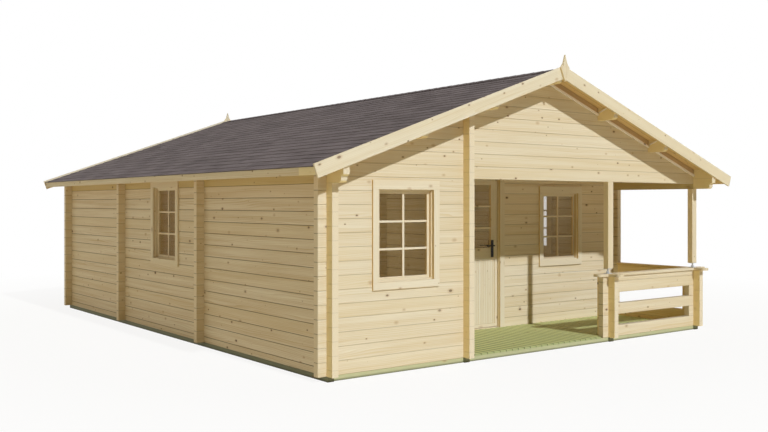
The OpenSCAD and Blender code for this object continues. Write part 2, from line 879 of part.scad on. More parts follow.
module leaf_hinges() {
  h = hinge_l / 2 - knuckle_gap;
  color(zinc) for (z = hinge_zs) difference() {
    union() {
      translate([hinge_x, hinge_y, z + knuckle_gap]) cylinder(h = h, r = knuckle_r);
      block([leaf_x0, leaf_y1, z + knuckle_gap],
        [leaf_x0 + hinge_plate_w, leaf_y1 + hinge_plate_t, z + knuckle_gap + h]);
    }
    translate([hinge_x, hinge_y, z - eps]) cylinder(h = hinge_l, r = pin_r + pin_clear);
  }
}

side_beams();
cross_beams();
floor_joists();
floor();
porch_deck();
front_wall();
front_gable();
left_wall();
right_wall();
back_wall();
porch_side_wall();
porch_back_wall_left();
porch_back_wall_right();
porch_back_wall_top();
front_partition_left();
front_partition_right();
front_partition_top();
rear_partition_left();
rear_partition_right();
rear_partition_top();
eave_logs();
ridge_purlin();
purlins();
front_railing();
side_railing_base();
side_railing_corner();
side_railing_top();
railing_end_stack();
front_handrail();
side_handrail();
porch_posts();
post_jacks();
roof_boards_left();
roof_boards_right();
shingles_left();
shingles_right();
fascias();
front_barge_boards();
back_barge_boards();
finials();
window_frames();
window_trims();
window_sashes();
window_glass();
door_jambs();
door_head();
door_sill();
door_trims();
frame_hinges();
door_leaf();
door_glass();
door_handle();
leaf_hinges();
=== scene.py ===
# %% [markdown]
# # A log cabin with a covered corner porch
#
# The cabin is a kit of squared pine logs whose ends cross and lock at the corners, under a low gable
# roof. The CAD model already gives every log, beam and board its true place. This lesson dresses it:
# it adds the parts that are too small or too many for CAD, and gives every surface its own material.

# %% Load the frame
import math
import random

import bmesh
import bpy
from mathutils import Matrix, Vector


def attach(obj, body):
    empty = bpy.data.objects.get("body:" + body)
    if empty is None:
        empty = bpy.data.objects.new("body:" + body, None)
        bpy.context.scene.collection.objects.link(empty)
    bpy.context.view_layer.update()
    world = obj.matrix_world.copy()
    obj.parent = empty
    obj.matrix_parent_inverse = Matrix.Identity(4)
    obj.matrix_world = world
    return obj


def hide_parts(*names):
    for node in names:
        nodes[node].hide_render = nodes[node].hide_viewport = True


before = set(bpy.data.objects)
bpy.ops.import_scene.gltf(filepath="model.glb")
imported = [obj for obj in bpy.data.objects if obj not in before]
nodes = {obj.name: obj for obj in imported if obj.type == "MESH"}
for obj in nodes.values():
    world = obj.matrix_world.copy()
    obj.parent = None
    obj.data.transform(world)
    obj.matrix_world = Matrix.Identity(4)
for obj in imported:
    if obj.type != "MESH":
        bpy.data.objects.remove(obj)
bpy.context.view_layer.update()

# %% [markdown]
# ## Sizes that the pieces share
#
# These are real sizes in metres. They repeat the values of the CAD model, so that a board that is
# made here lies exactly on the log that carries it. The front of the house looks towards -Y.

# %% Shared sizes
LOG_H, LOG_T = 0.133, 0.070
BASE_H, FLOOR_T = 0.050, 0.020
HALF_WIDTH = 2.910
X_LEFT, X_SIDE, X_STACK, X_RIGHT = -HALF_WIDTH, -1.211, 1.116, 2.840
Y_FRONT, Y_PORCH = -3.695, -2.370
ARM = 0.095
PITCH = math.radians(19.7)
EAVE_Z, EAVE_LOG_H, ROOF_BOARD_T = 1.8455, 0.226, 0.019
RIDGE_UNDER = EAVE_Z + EAVE_LOG_H + math.tan(PITCH) * HALF_WIDTH
RIDGE_TOP = RIDGE_UNDER + ROOF_BOARD_T / math.cos(PITCH)
ROOF_HALF_LENGTH = 3.973
SHINGLE_EDGE_X = 3.225
rng = random.Random(11)
print("top of the roof boards at the ridge:", round(RIDGE_TOP, 4))

# %% [markdown]
# ## Helpers for materials
#
# Colours are written as they look on a screen, in sRGB hex. Blender mixes light in linear values, so
# one function converts them. A second one adds a shader node, sets its fields and its sockets, and
# returns one output, so that a whole material reads from top to bottom. A third starts an empty material.

# %% Colour and node helpers
def linear(code):
    """An sRGB hex colour as linear RGBA."""
    parts = [int(code[i:i + 2], 16) / 255 for i in (1, 3, 5)]
    return tuple(c / 12.92 if c <= 0.04045 else ((c + 0.055) / 1.055) ** 2.4 for c in parts) + (1.0,)


def put(tree, kind, sockets=None, out=0, **fields):
    """Adds one shader node and returns one of its outputs, if it has any."""
    made = tree.nodes.new("ShaderNode" + kind)
    for field, value in fields.items():
        setattr(made, field, value)
    for key, value in (sockets or {}).items():
        if isinstance(value, bpy.types.NodeSocket):
            tree.links.new(value, made.inputs[key])
        else:
            made.inputs[key].default_value = value
    return made.outputs[out] if made.outputs else None


def new_material(name):
    """An empty material with an output node."""
    material = bpy.data.materials.new(name)
    material.use_nodes = True
    material.node_tree.nodes.clear()
    return material, material.node_tree


# %% [markdown]
# ## Planed pine
#
# Pine is a pale wood with honey-coloured late wood between the growth rings, and small dark knots
# where branches grew. Planing leaves it matt and smooth. The figure below is shared by the logs and by
# the boards. It needs three numbers at each point: the place along the grain, the place across it, both
# in metres, and a number that differs from log to log. Knots come from a Voronoi texture with one
# chance of a knot in each cell; its Position output lets the distance be measured in real metres.

# %% Figure of pine
KNOT_ALONG, KNOT_ACROSS = 0.27, 0.133
RING_WIDTH = 0.017


def pine_figure(tree, u, v, seed, pale, late, honey):
    """Colour, height and knot mask of planed pine."""
    cell = put(tree, "CombineXYZ", {
        0: put(tree, "Math", {0: u, 1: 1 / KNOT_ALONG, 2: put(
            tree, "Math", {0: seed, 1: 13.71}, operation="MULTIPLY")}, operation="MULTIPLY_ADD"),
        1: put(tree, "Math", {0: v, 1: 1 / KNOT_ACROSS, 2: put(
            tree, "Math", {0: seed, 1: 7.37}, operation="MULTIPLY")}, operation="MULTIPLY_ADD")})
    knot = put(tree, "TexVoronoi", {"Vector": cell, "Scale": 1.0}, "Position", voronoi_dimensions="2D")
    chance = put(tree, "SeparateColor", {0: knot.node.outputs["Color"]})
    # Knots are drawn out a little along the grain
    away = put(tree, "VectorMath", {
        0: put(tree, "VectorMath", {0: cell, 1: knot}, operation="SUBTRACT"),
        1: (KNOT_ALONG * 0.6, KNOT_ACROSS, 0)}, operation="MULTIPLY")
    distance = put(tree, "VectorMath", {0: away}, "Value", operation="LENGTH")
    radius = put(tree, "Math", {
        0: put(tree, "MapRange", {0: chance, 1: 0.40, 2: 1.0, 3: 0.0, 4: 0.0104}),
        1: put(tree, "MapRange", {0: chance.node.outputs[2], 3: 0.55, 4: 1.6})}, operation="MULTIPLY")
    core = put(tree, "MapRange", {
        0: distance,
        1: put(tree, "Math", {0: radius, 1: 0.7}, operation="MULTIPLY"),
        2: put(tree, "Math", {0: radius, 1: 0.0004}, operation="ADD"), 3: 1.0, 4: 0.0})
    halo = put(tree, "MapRange", {
        0: distance, 1: radius,
        2: put(tree, "Math", {0: radius, 1: 2.1, 2: 0.0008}, operation="MULTIPLY_ADD"), 3: 1.0, 4: 0.0})
    # The rings flow round a knot
    across = put(tree, "SeparateXYZ", {0: away}, 1)
    bend = put(tree, "Math", {0: across, 1: halo}, operation="MULTIPLY")
    v_bent = put(tree, "Math", {0: bend, 1: -0.6, 2: v}, operation="MULTIPLY_ADD")
    place = put(tree, "CombineXYZ", {0: u, 1: v_bent, 2: seed})
    flow = put(tree, "TexNoise", {
        "Vector": put(tree, "VectorMath", {0: place, 1: (0.5, 6.0, 5.3)}, operation="MULTIPLY"),
        "Scale": 1.0, "Detail": 2.0})
    ring = put(tree, "Math", {0: put(tree, "Math", {
        0: flow, 1: 9.0, 2: put(tree, "Math", {0: v_bent, 1: 1 / RING_WIDTH}, operation="MULTIPLY")},
        operation="MULTIPLY_ADD")}, operation="FRACT")
    late_wood = put(tree, "MapRange", {0: ring, 1: 0.35, 2: 1.0, 3: 0.0, 4: 0.34})
    streak = put(tree, "TexNoise", {
        "Vector": put(tree, "VectorMath", {0: place, 1: (0.6, 20.0, 2.1)}, operation="MULTIPLY"),
        "Scale": 1.0, "Detail": 3.0})
    fibre = put(tree, "TexNoise", {
        "Vector": put(tree, "VectorMath", {0: place, 1: (5.0, 330.0, 1.0)}, operation="MULTIPLY"),
        "Scale": 1.0, "Detail": 2.0})
    depth = put(tree, "Math", {
        0: put(tree, "MapRange", {0: streak, 1: 0.35, 2: 0.70, 3: 0.0, 4: 0.42}),
        1: put(tree, "Math", {0: fibre, 1: 0.22, 2: late_wood}, operation="MULTIPLY_ADD")},
        operation="ADD", use_clamp=True)
    colour = put(tree, "Mix", {0: depth, 6: linear(pale), 7: linear(late)}, 2, data_type="RGBA")
    tone = put(tree, "TexWhiteNoise", {"W": seed}, noise_dimensions="1D")
    colour = put(tree, "Mix", {
        0: put(tree, "MapRange", {0: tone, 1: 0.2, 2: 1.0, 3: 0.0, 4: 0.40}),
        6: colour, 7: linear(honey)}, 2, data_type="RGBA")
    colour = put(tree, "Mix", {
        0: put(tree, "Math", {0: halo, 1: 0.32}, operation="MULTIPLY"),
        6: colour, 7: linear("#B98A52")}, 2, data_type="RGBA")
    colour = put(tree, "Mix", {
        0: put(tree, "Math", {0: core, 1: put(tree, "MapRange", {
            0: chance.node.outputs[1], 1: 0.25, 2: 1.0, 3: 0.12, 4: 0.92})}, operation="MULTIPLY"),
        6: colour, 7: linear("#553A20")}, 2, data_type="RGBA")
    height = put(tree, "Math", {
        0: put(tree, "Math", {0: fibre, 1: 0.5, 2: late_wood}, operation="MULTIPLY_ADD"), 1: core},
        operation="ADD")
    return colour, height, depth


def pine_surface(tree, colour, height, depth):
    """Planed softwood: matt, a little shinier on the hard late wood."""
    shader = put(tree, "BsdfPrincipled", {
        "Base Color": colour,
        "Roughness": put(tree, "MapRange", {0: depth, 1: 0.0, 2: 1.0, 3: 0.68, 4: 0.54}),
        "IOR": 1.45, "Specular IOR Level": 0.32,
        "Normal": put(tree, "Bump", {"Height": height, "Strength": 0.25, "Distance": 0.0006})})
    put(tree, "OutputMaterial", {"Surface": shader})


def joint_distance(tree, place):
    """Distance to the nearest whole number, which is zero on a joint between courses or boards."""
    nearest = put(tree, "Math", {0: place}, operation="ROUND")
    return put(tree, "Math", {0: put(tree, "Math", {0: place, 1: nearest}, operation="SUBTRACT")},
               operation="ABSOLUTE")


# The painted bounce light on left sides reaches back to this Y
PAINTED_BOUNCE_Y = -2.2


def painted_bounce_sides(tree, colour, place, facing, tint):
    """Painted bounce light: narrow left sides of boards and posts near the front are tinted golden."""
    left = put(tree, "Math", {0: facing[0], 1: -0.8}, operation="LESS_THAN")
    near = put(tree, "Math", {0: place[1], 1: PAINTED_BOUNCE_Y}, operation="LESS_THAN")
    share = put(tree, "Math", {0: put(tree, "Math", {0: left, 1: near}, operation="MULTIPLY"), 1: 0.85},
                operation="MULTIPLY")
    return put(tree, "Mix", {0: share, 6: colour, 7: linear(tint)}, 2, data_type="RGBA")


# %% [markdown]
# ## Logs and solid timber
#
# A log material reads Object coordinates. The object sits at the origin, so these are metres in the
# frame of the house. Along a wall that runs in X the grain is X, and so on. The course number comes from
# the height, which gives every log its own seed. A thin dark line is drawn at each joint, where shade
# and dust gather, and the cut ends show the growth rings as arcs.

# %% Log materials
def log_pine(name, along, phase=None, joint=0.0, pale="#E7D8B4", late="#D0B47E", honey="#DCC492",
             end_joint=0.15):
    """Solid pine with its grain along axis 0, 1 or 2. A phase says where the joints between courses are,
    and joint and end_joint how dark they are on the faces and on the sawn ends."""
    material, tree = new_material(name)
    coordinates = put(tree, "TexCoord", out="Object")
    split = put(tree, "SeparateXYZ", {0: coordinates}).node.outputs
    facing = put(tree, "SeparateXYZ", {0: coordinates.node.outputs["Normal"]}).node.outputs
    u = split[along]
    v = split[2] if along < 2 else put(tree, "Math", {0: split[0], 1: split[1]}, operation="ADD")
    deep = split[1] if along == 0 else split[0]
    # Each wall has its own number, and each course of it another one
    wall = put(tree, "Math", {0: put(tree, "Math", {0: deep, 1: 2.5, 2: 0.3}, operation="MULTIPLY_ADD")},
               operation="FLOOR")
    shift = -BASE_H / LOG_H - (phase or 0.0)
    course = put(tree, "Math", {0: split[2], 1: 1 / LOG_H, 2: shift}, operation="MULTIPLY_ADD")
    step = put(tree, "Math", {0: course}, operation="FLOOR")
    if phase is None:
        seed = put(tree, "Math", {0: wall, 1: 1.73}, operation="MULTIPLY")
    else:
        seed = put(tree, "Math", {0: wall, 1: 1.73, 2: step}, operation="MULTIPLY_ADD")
    colour, height, depth = pine_figure(tree, u, v, seed, pale, late, honey)
    painted_bounce = 0.0
    if along == 1:
        # Painted bounce light: the log ends in front of the house are tinted golden
        painted_bounce = put(tree, "Math", {0: u, 1: Y_FRONT}, operation="LESS_THAN")
        colour = put(tree, "Mix", {
            0: put(tree, "Math", {0: painted_bounce, 1: 0.8}, operation="MULTIPLY"),
            6: colour, 7: linear("#F7E0A2")}, 2, data_type="RGBA")
    if along == 2:
        # Painted bounce light on the left sides of posts near the front
        colour = painted_bounce_sides(tree, colour, split, facing, "#FAE3B0")
    # Sawn ends: rings 5 mm apart round a centre below the log
    arc = put(tree, "CombineXYZ", {
        0: put(tree, "Math", {0: deep, 1: 0.4}, operation="PINGPONG"),
        1: put(tree, "Math", {0: course}, operation="FRACT")})
    arc = put(tree, "VectorMath", {0: arc, 1: (200.0, LOG_H * 200.0, 0.0)}, operation="MULTIPLY")
    arc = put(tree, "Math", {0: put(tree, "VectorMath", {0: arc}, "Value", operation="LENGTH")},
              operation="FRACT")
    sawn = put(tree, "Mix", {0: arc, 6: linear("#EBDBB6"), 7: linear("#DCC495")}, 2, data_type="RGBA")
    end = put(tree, "Math", {0: put(tree, "Math", {0: facing[along]}, operation="ABSOLUTE"), 1: 0.8},
              operation="GREATER_THAN")
    colour = put(tree, "Mix", {0: end, 6: colour, 7: sawn}, 2, data_type="RGBA")
    if phase is not None:
        gap = joint_distance(tree, course)
        # The sawn ends and the painted bounce light in front take the end joint strength
        ends_and_painted_bounce = put(tree, "Math", {0: end, 1: painted_bounce}, operation="MAXIMUM")
        line = put(tree, "MapRange", {
            0: gap, 1: 0.0015 / LOG_H, 2: 0.0050 / LOG_H, 4: 0.0,
            3: put(tree, "MapRange", {0: ends_and_painted_bounce, 3: joint, 4: end_joint})})
        colour = put(tree, "Mix", {0: line, 6: colour, 7: linear("#5A3C08")}, 2, data_type="RGBA")
    pine_surface(tree, colour, height, depth)
    return material


cross_logs = log_pine("Pine_logs_across", 0, 0.0, 0.28, end_joint=0.6)
# Painted light and shade: a paler copy for the porch wall, with darker joint lines for its shade
porch_logs_painted_light = log_pine("Pine_logs_porch_painted_light", 0, 0.0, 0.4, "#EDDDB8", "#D3B57C", "#E2C997")
long_logs = log_pine("Pine_logs_lengthwise", 1, 0.5, 0.75, "#ECDEBC", "#C5A467", "#DCC492")
# Painted bounce light: a golden copy of the lengthwise logs for the railing in the porch
painted_bounce_logs = log_pine("Pine_logs_painted_bounce", 1, 0.5, 0.35, "#FBE3A8", "#E7C178", "#F0D18A")
# Painted light: a darker golden copy for the eave logs, for bounce light and the shade under the eaves
eave_bounce_shade_pine = log_pine("Pine_eave_painted_bounce_shade", 1, 0.5, 0.35, "#D8C48C", "#C6A661", "#CFB475")
rail_across = log_pine("Pine_timber_across", 0)
rail_long = log_pine("Pine_timber_lengthwise", 1)
# Painted bounce light: golden colours for the purlins and the side handrail, which stand in shade
purlin_bounce_pine = log_pine("Pine_purlins_painted_bounce", 1, None, 0.0, "#EFD190", "#DDB66E", "#E6C27C")
upright = log_pine("Pine_timber_upright", 2)
log_finishes = (cross_logs, porch_logs_painted_light, long_logs, painted_bounce_logs, eave_bounce_shade_pine, rail_across, rail_long,
                purlin_bounce_pine, upright)
print("log materials:", [finish.name for finish in log_finishes])

# %% [markdown]
# ## Sloping boards, floor and ceiling boards
#
# Barge boards lie along the slope, so their coordinates are turned by the pitch of the roof first; the
# absolute value of X lets one material serve both slopes. Floor and roof boards are drawn as strips
# 90 mm wide with a dark line between them, and each strip has its own seed.

# %% Board materials on Object coordinates
STRIP_W = 0.090


def barge_pine():
    """Planed pine boards that follow the slope of the roof."""
    material, tree = new_material("Pine_sloping_boards")
    split = put(tree, "SeparateXYZ", {0: put(tree, "TexCoord", out="Object")}).node.outputs
    side = put(tree, "Math", {0: split[0]}, operation="ABSOLUTE")
    turned = put(tree, "Mapping", {
        "Vector": put(tree, "CombineXYZ", {0: side, 1: split[1], 2: split[2]}),
        "Rotation": (0.0, -PITCH, 0.0)})
    turned = put(tree, "SeparateXYZ", {0: turned}).node.outputs
    seed = put(tree, "Math", {0: put(tree, "Math", {0: split[0]}, operation="SIGN"), 1: 3.0,
                              2: put(tree, "Math", {0: split[1]}, operation="SIGN")},
               operation="MULTIPLY_ADD")
    pine_surface(tree, *pine_figure(tree, turned[0], turned[2], seed, "#E9DAB6", "#D8BF8C", "#E0CA9A"))
    return material


def strip_boards(name, along, across, pale, late):
    """Tongued boards side by side: grain along one axis, joints every 90 mm along another."""
    material, tree = new_material(name)
    split = put(tree, "SeparateXYZ", {0: put(tree, "TexCoord", out="Object")}).node.outputs
    strip = put(tree, "Math", {0: split[across], 1: 1 / STRIP_W}, operation="MULTIPLY")
    seed = put(tree, "Math", {0: strip}, operation="FLOOR")
    colour, height, depth = pine_figure(tree, split[along], split[across], seed, pale, late, "#D9C08E")
    gap = joint_distance(tree, strip)
    line = put(tree, "MapRange", {0: gap, 1: 0.012, 2: 0.035, 3: 0.7, 4: 0.0})
    colour = put(tree, "Mix", {0: line, 6: colour, 7: linear("#4F3C22")}, 2, data_type="RGBA")
    pine_surface(tree, colour, height, depth)
    return material


sloping = barge_pine()
# Painted bounce light: the roof boards get a golden pine for the warm light under the eaves
bounce_ceiling = strip_boards("Pine_roof_boards_painted_bounce", 0, 1, "#EFCD82", "#DDB163")
floorboards = strip_boards("Pine_floor_boards", 1, 0, "#E0CDA4", "#C8AB76")
print("board materials:", sloping.name, bounce_ceiling.name, floorboards.name)

# %% [markdown]
# ## Joinery boards with their own UV map
#
# Window and door boards run in many directions, so each board carries a UV map in metres, with U along
# its grain, and a number of its own in the attribute "board". One material then fits every board.

# %% Joinery material
def joinery_pine(name, pale, late, honey, edges=None, bounce_tint=None):
    """Planed boards whose grain follows the UV map. Edges give the X of the first joint between boards that
    lie side by side and the distance to the next, and darken the boards there. Bounce_tint is the colour of
    the painted bounce light on the left sides near the front."""
    material, tree = new_material(name)
    split = put(tree, "SeparateXYZ", {0: put(tree, "UVMap", uv_map="UVMap")}).node.outputs
    number = put(tree, "Attribute", out="Fac", attribute_name="board")
    colour, height, depth = pine_figure(tree, split[0], split[1], number, pale, late, honey)
    coordinates = put(tree, "TexCoord", out="Object")
    place = put(tree, "SeparateXYZ", {0: coordinates}).node.outputs
    facing = put(tree, "SeparateXYZ", {0: coordinates.node.outputs["Normal"]}).node.outputs
    if edges:
        first, pitch = edges
        strip = put(tree, "Math", {0: place[0], 1: 1 / pitch, 2: -first / pitch}, operation="MULTIPLY_ADD")
        gap = joint_distance(tree, strip)
        line = put(tree, "MapRange", {0: gap, 1: 0.08, 2: 0.16, 3: 0.75, 4: 0.0})
        colour = put(tree, "Mix", {0: line, 6: colour, 7: linear("#4E5028")}, 2, data_type="RGBA")
        # The cut ends soak up more of the preservative
        # Painted shade: the cut ends, which face the sun, are darkened
        painted_shade_ends = put(tree, "Math", {0: facing[1], 1: -0.6}, operation="LESS_THAN")
        colour = put(tree, "Mix", {0: painted_shade_ends, 6: colour, 7: linear("#A9AB6E")}, 2, data_type="RGBA")
    # Painted bounce light on the left sides near the front
    if bounce_tint:
        colour = painted_bounce_sides(tree, colour, place, facing, bounce_tint)
    pine_surface(tree, colour, height, depth)
    return material


joinery = joinery_pine("Pine_joinery_boards", "#E9DBB8", "#DAC294", "#E1CC9E", bounce_tint="#E3C07C")
cover_pine = joinery_pine("Pine_cover_boards", "#CFB083", "#BB9A69", "#C5A576")
# Painted light: the lips are as pale as pine can be, so that they read as lit lines in the shade
light_lip_pine = joinery_pine("Pine_cover_lips_painted_light", "#FBF0DC", "#F1E2C4", "#F6E9CF")
print("joinery materials:", joinery.name, cover_pine.name, light_lip_pine.name)

# %% [markdown]
# ## Pressure-treated pine
#
# Foundation beams and deck are pine that was soaked in a copper preservative, which tints it green.
# It is the same wood, so it keeps the same figure in greener colours.

# %% Treated pine
def treated_timber(name, along, pale, late, honey):
    """Green-tinted beams, with the grain along axis 0 or 1."""
    material, tree = new_material(name)
    split = put(tree, "SeparateXYZ", {0: put(tree, "TexCoord", out="Object")}).node.outputs
    seed = put(tree, "Math", {0: split[1 - along], 1: 2.0}, operation="MULTIPLY")
    seed = put(tree, "Math", {0: seed}, operation="FLOOR")
    colour, height, depth = pine_figure(tree, split[along], split[2], seed, pale, late, honey)
    # Painted shade: the foot that stands on the ground is darkened like a contact shadow
    painted_contact_shade = put(tree, "MapRange", {0: split[2], 1: 0.004, 2: 0.024, 3: 0.75, 4: 0.0})
    colour = put(tree, "Mix", {0: painted_contact_shade, 6: colour, 7: linear("#4A4A32")}, 2, data_type="RGBA")
    pine_surface(tree, colour, height, depth)
    return material


treated_long = treated_timber("Treated_pine_lengthwise", 1, "#86886A", "#727553", "#7D7F60")
treated_across = treated_timber("Treated_pine_across", 0, "#C6C18F", "#ABA873", "#BAB582")
DECK_X0 = X_SIDE + LOG_T
DECK_COUNT = 43
DECK_PITCH = (X_RIGHT - DECK_X0) / DECK_COUNT
deck_pine = joinery_pine("Treated_pine_deck_boards", "#CFCF86", "#BABB6F", "#C5C57A",
                         (DECK_X0, DECK_PITCH))
print("treated pine:", treated_long.name, treated_across.name, deck_pine.name)

# %% [markdown]
# ## Bitumen shingle, glass and metals
#
# A shingle is felt soaked in bitumen and covered with crushed slate: rough, dark and warm grey, and no
# two tabs have quite the same grit, so each tab has its own tone in the attribute "board". The grit is
# about 1 mm; it is drawn at 7 mm so that it shows. Window glass is clear, so most of it is transparent
# and the rest is a smooth gloss. The door handle is black satin metal, the jacks and hinges zinc.

# %% Roof, glass and metal materials
def bitumen_shingle():
    """Slate-covered bitumen tabs in warm dark greys."""
    material, tree = new_material("Bitumen_shingle")
    place = put(tree, "TexCoord", out="Object")
    tone = put(tree, "Attribute", out="Fac", attribute_name="board")
    grit = put(tree, "TexNoise", {"Vector": place, "Scale": 1 / 0.007, "Detail": 2.0})
    blotch = put(tree, "TexNoise", {"Vector": place, "Scale": 1 / 0.35, "Detail": 2.0})
    # Weather draws long streaks along the courses
    streak = put(tree, "TexNoise", {
        "Vector": put(tree, "VectorMath", {0: place, 1: (28.0, 2.2, 28.0)}, operation="MULTIPLY"),
        "Scale": 1.0, "Detail": 2.0})
    colour = put(tree, "Mix", {0: tone, 6: linear("#534742"), 7: linear("#70635E")}, 2, data_type="RGBA")
    colour = put(tree, "Mix", {
        0: put(tree, "MapRange", {0: streak, 1: 0.52, 2: 0.72, 3: 0.0, 4: 0.65}),
        6: colour, 7: linear("#8A7C75")}, 2, data_type="RGBA")
    colour = put(tree, "Mix", {
        0: put(tree, "MapRange", {0: grit, 1: 0.35, 2: 0.65, 3: 0.0, 4: 0.45}),
        6: colour, 7: linear("#3F3834")}, 2, data_type="RGBA")
    colour = put(tree, "Mix", {
        0: put(tree, "MapRange", {0: blotch, 1: 0.40, 2: 0.70, 3: 0.0, 4: 0.25}),
        6: colour, 7: linear("#736660")}, 2, data_type="RGBA")
    shader = put(tree, "BsdfPrincipled", {
        "Base Color": colour, "Roughness": 0.88, "IOR": 1.50, "Specular IOR Level": 0.25,
        "Normal": put(tree, "Bump", {"Height": grit, "Strength": 0.5, "Distance": 0.002})})
    put(tree, "OutputMaterial", {"Surface": shader})
    return material


def window_pane():
    """Float glass with a thin warm film, a painted reflection. The porch panes get a paler, thicker film."""
    material, tree = new_material("Float_glass")
    place = put(tree, "TexCoord", out="Object")
    ripple = put(tree, "TexNoise", {"Vector": place, "Scale": 1 / 0.25, "Detail": 1.0})
    porch = put(tree, "Math", {0: put(tree, "SeparateXYZ", {0: place}, 1), 1: Y_PORCH + 0.055, 2: 0.1},
                operation="COMPARE")
    # Painted reflection: a warm film over the glass, thicker on the porch panes
    reflection_film = put(tree, "MapRange", {0: ripple, 1: 0.3, 2: 0.7, 3: 0.11, 4: 0.16})
    shader = put(tree, "BsdfPrincipled", {
        "Base Color": put(tree, "Mix", {0: porch, 6: linear("#A08653"), 7: linear("#E0D2B0")}, 2,
                          data_type="RGBA"),
        "Roughness": 0.03, "IOR": 1.35, "Specular IOR Level": 0.3,
        "Alpha": put(tree, "Math", {0: porch, 1: 0.08, 2: reflection_film}, operation="MULTIPLY_ADD"),
        "Normal": put(tree, "Bump", {"Height": ripple, "Strength": 0.05, "Distance": 0.002})})
    put(tree, "OutputMaterial", {"Surface": shader})
    return material


def satin_metal(name, dark, light, roughness, metallic):
    """A cast or plated metal with a slightly uneven satin surface."""
    material, tree = new_material(name)
    cloud = put(tree, "TexNoise", {
        "Vector": put(tree, "TexCoord", out="Object"), "Scale": 1 / 0.012, "Detail": 3.0})
    shader = put(tree, "BsdfPrincipled", {
        "Base Color": put(tree, "Mix", {0: cloud, 6: linear(dark), 7: linear(light)}, 2, data_type="RGBA"),
        "Metallic": metallic,
        "Roughness": put(tree, "MapRange", {0: cloud, 1: 0.3, 2: 0.7, 3: roughness, 4: roughness + 0.12}),
        "Normal": put(tree, "Bump", {"Height": cloud, "Strength": 0.08, "Distance": 0.0005})})
    put(tree, "OutputMaterial", {"Surface": shader})
    return material


shingle = bitumen_shingle()
pane_glass = window_pane()
black_metal = satin_metal("Black_satin_metal", "#161514", "#262422", 0.38, 0.6)
zinc_steel = satin_metal("Zinc_plated_steel", "#B6B5B0", "#CFCEC9", 0.45, 0.7)
print("other materials:", shingle.name, pane_glass.name, black_metal.name, zinc_steel.name)

# %% [markdown]
# ## Dress the CAD nodes
#
# Most of the timber needs nothing but its material. The object's material slot is changed, and the mesh
# that CAD made is left alone.

# %% Materials on the CAD nodes
dressing = {
    cross_logs: ["front_wall", "front_gable", "back_wall", "front_partition_left", "front_partition_right",
                 "front_partition_top", "rear_partition_left", "rear_partition_right",
                 "rear_partition_top", "front_railing"],
    porch_logs_painted_light: ["porch_back_wall_left", "porch_back_wall_right", "porch_back_wall_top"],
    long_logs: ["left_wall", "right_wall", "porch_side_wall"],
    painted_bounce_logs: ["side_railing_base", "side_railing_corner", "side_railing_top", "railing_end_stack"],
    eave_bounce_shade_pine: ["eave_logs"],
    rail_across: ["front_handrail", "door_head", "door_sill"],
    rail_long: ["fascias"],
    purlin_bounce_pine: ["ridge_purlin", "purlins", "side_handrail"],
    upright: ["porch_posts", "finials", "door_jambs", "window_frames"],
    sloping: ["front_barge_boards", "back_barge_boards"],
    bounce_ceiling: ["roof_boards_left", "roof_boards_right"],
    floorboards: ["floor"],
    treated_long: ["side_beams"],
    treated_across: ["cross_beams", "floor_joists"],
    pane_glass: ["window_glass", "door_glass"],
    black_metal: ["door_handle"],
    zinc_steel: ["post_jacks", "frame_hinges", "leaf_hinges"],
}
for material, names in dressing.items():
    for name in names:
        node = nodes[name]
        if not node.material_slots:
            node.data.materials.append(material)
        for slot in node.material_slots:
            slot.material = material
print("dressed nodes:", sum(len(names) for names in dressing.values()))

# %% [markdown]
# ## A board, as a joiner makes it
#
# Every added board starts as a cube that is scaled between two corners. Its edges are eased with a
# small bevel, as a plane does, because a perfectly sharp edge never catches the light. Then the UV map is
# laid along the grain. The board is one island of faces, so a short walk over its edges finds them all.

# %% Board and piece helpers
def island(face):
    """All the faces that hang together with one face."""
    found, todo = {face}, [face]
    while todo:
        for edge in todo.pop().edges:
            for other in edge.link_faces:
                if other not in found:
                    found.add(other)
                    todo.append(other)
    return found


def add_board(bm, low, high, along, ease=0.002, place=None):
    """A planed board between two corners, with its grain along axis 0, 1 or 2."""
    low, high = Vector(low), Vector(high)
    verts = bmesh.ops.create_cube(bm, size=1.0)["verts"]
    bmesh.ops.scale(bm, vec=high - low, verts=verts)
    bmesh.ops.translate(bm, vec=(low + high) / 2, verts=verts)
    edges = list({edge for vert in verts for edge in vert.link_edges})
    eased = bmesh.ops.bevel(bm, geom=edges, offset=ease, affect="EDGES", segments=2, profile=0.5,
                            material=-1)
    faces = island(eased["faces"][0])
    uv = bm.loops.layers.uv.verify()
    number = bm.faces.layers.float.get("board") or bm.faces.layers.float.new("board")
    own = rng.uniform(0, 90)
    for face in faces:
        face[number] = own
        flat = max(range(3), key=lambda axis: abs(face.normal[axis]))
        over = next(axis for axis in (2, 0, 1) if axis not in (flat, along))
        for loop in face.loops:
            loop[uv].uv = (loop.vert.co[along], loop.vert.co[over])
    if place is not None:
        bmesh.ops.transform(bm, matrix=place, verts=list({v for f in faces for v in f.verts}))
    return faces


def new_mesh_layers():
    """An empty bmesh that has the layers of a board from the start."""
    bm = bmesh.new()
    bm.loops.layers.uv.new("UVMap")
    bm.faces.layers.float.new("board")
    return bm


def finish_piece(name, bm, material, body, slot, *replaced):
    """Turns a bmesh into a piece that rides on a body of the house."""
    mesh = bpy.data.meshes.new(name)
    bm.to_mesh(mesh)
    bm.free()
    mesh.materials.append(material)
    piece = bpy.data.objects.new(name, mesh)
    bpy.context.scene.collection.objects.link(piece)
    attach(piece, body)
    if replaced:
        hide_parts(*replaced)
    print(name, "faces:", len(mesh.polygons))
    return piece


# %% [markdown]
# ## Windows
#
# Each window has boards nailed round it outside and inside, a sash set back in the wall, and bars that
# divide the pane in six. The wall boards are butted: the upper and lower ones run through, and the sides
# stand between them. One window is built flat in its own frame, X along the wall and Y into it, and a
# matrix then puts it in its wall.

